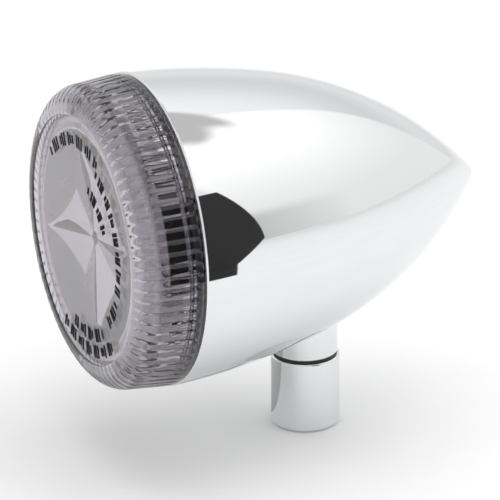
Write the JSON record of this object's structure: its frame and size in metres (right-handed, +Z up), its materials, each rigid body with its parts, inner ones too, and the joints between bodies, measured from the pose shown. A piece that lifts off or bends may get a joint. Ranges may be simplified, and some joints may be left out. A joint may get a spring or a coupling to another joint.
{
  "type": "turn signal indicator",
  "caption": "Bullet-shaped chrome motorcycle turn signal with a smoked ribbed lens, a star reflector and a short swivelling stem with a threaded foot.",
  "frame": {"origin": "centre of the stem's flat foot, at the mouth of its tapped hole", "axes": "+Z up the stem, -Y the way the lens faces, +Y towards the bullet's tip, +X across"},
  "size_m": [0.0544, 0.0732, 0.0685],
  "materials": {
    "chrome_housing": "mirror chrome plate on a polished die casting",
    "chrome_stem": "mirror chrome plate on turned steel",
    "smoked_lens": "smoke-tinted moulded polycarbonate, clear and glossy",
    "metallised_reflector": "vacuum-metallised moulding, bright silver",
    "black_rubber": "matt black moulded rubber",
    "black_nylon": "matt black nylon",
    "spring_steel": "blanked spring steel",
    "screw_steel": "zinc-plated steel",
    "white_board": "white solder mask",
    "green_board": "green solder mask on glass-fibre board",
    "led_ceramic": "white ceramic body",
    "led_silicone": "clear silicone over an amber emitter",
    "chip_black": "matt black moulded package",
    "thermal_pad": "soft grey silicone pad",
    "turned_aluminium": "face-turned aluminium",
    "insulating_film": "amber polyimide sheet",
    "brass": "turned brass",
    "ferrite": "grey pressed ferrite",
    "capacitor_can": "drawn aluminium can"
  },
  "bodies": {
    "base": {"stem_base": "chrome_stem", "swivel_washer": "black_nylon", "swivel_seal": "black_rubber", "thrust_washer": "spring_steel", "disc_spring": "spring_steel", "retaining_ring": "spring_steel", "lead_grommet": "black_rubber"},
    "head": {"housing": "chrome_housing", "lens": "smoked_lens", "lens_seal": "black_rubber", "star_reflector": "metallised_reflector", "led_board": "white_board", "led_package": "led_ceramic", "led_dome": "led_silicone", "led_resistors": "chip_black", "thermal_pad": "thermal_pad", "heat_sink": "turned_aluminium", "sink_screws": "screw_steel", "insulating_disc": "insulating_film", "board_spacers": "brass", "driver_board": "green_board", "driver_screws": "screw_steel", "driver_chip": "chip_black", "inductor": "ferrite", "capacitors": "capacitor_can", "driver_resistors": "chip_black", "polarity_diode": "chip_black", "board_pins": "brass", "lead_terminals": "brass"}
  },
  "joints": [
    {"name": "aim_swivel", "type": "hinge", "parent": "base", "child": "head", "pos_m": [0, 0, 0.0134], "axis": [0, 0, 1], "range_deg": [-180, 180]}
  ]
}
